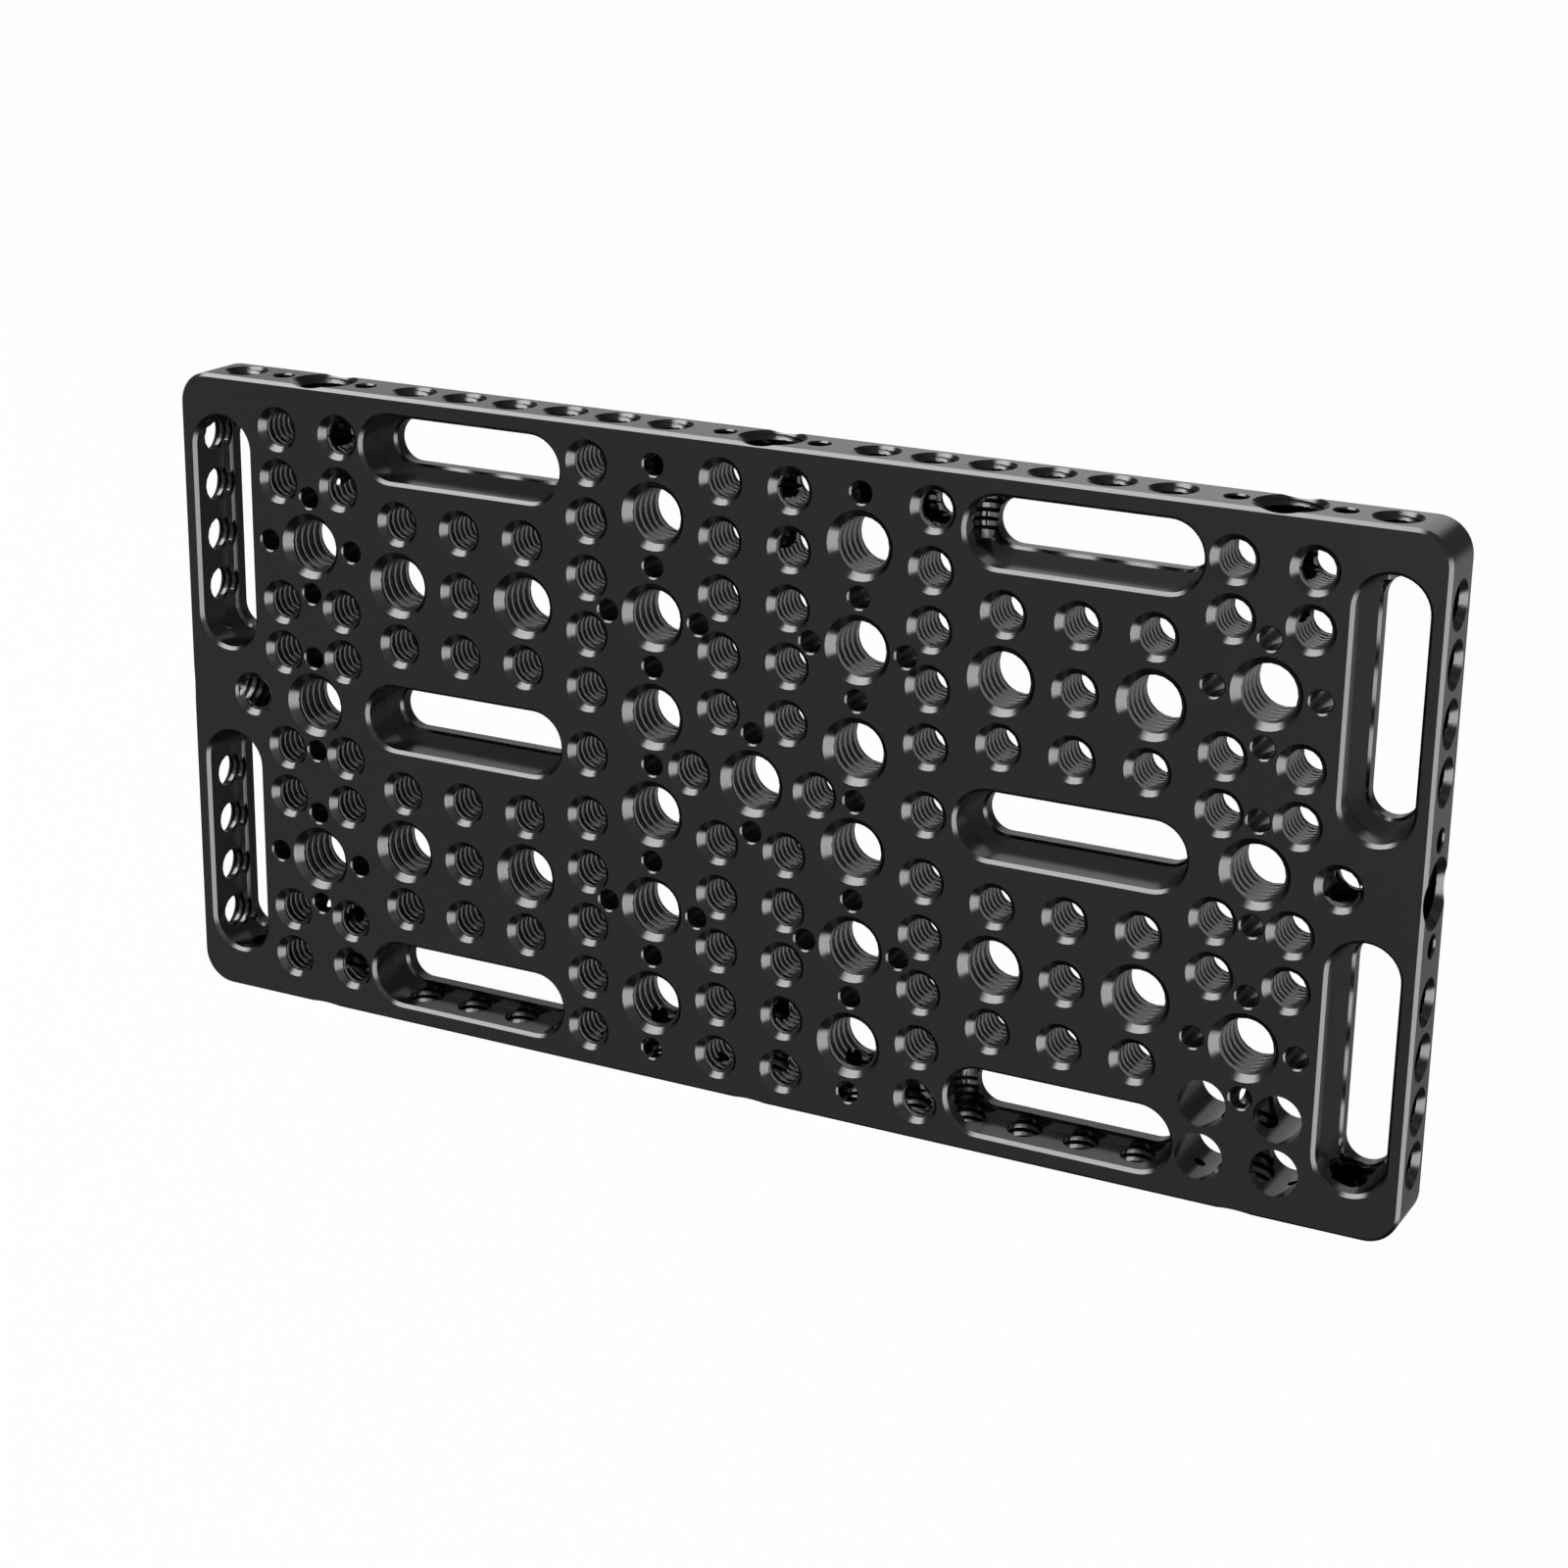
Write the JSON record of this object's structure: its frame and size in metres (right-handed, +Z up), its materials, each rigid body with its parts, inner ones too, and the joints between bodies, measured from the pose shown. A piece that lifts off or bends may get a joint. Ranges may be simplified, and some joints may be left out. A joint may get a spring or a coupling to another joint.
{
  "type": "camera cheese plate",
  "caption": "Flat camera cheese plate, drilled, tapped and slotted all over, for joining a camera and its accessories with standard screws.",
  "frame": {"origin": "middle of the bottom edge's face, which the plate stands on", "axes": "+X along the length, +Y from the front face to the back, +Z up the height; the front face, with the wide side of the slots, looks along -Y"},
  "size_m": [0.2, 0.0098, 0.1],
  "materials": {
    "black_anodised": "fine bead-blasted, satin black anodised"
  },
  "bodies": {
    "root": {"plate": "black_anodised"}
  },
  "joints": []
}
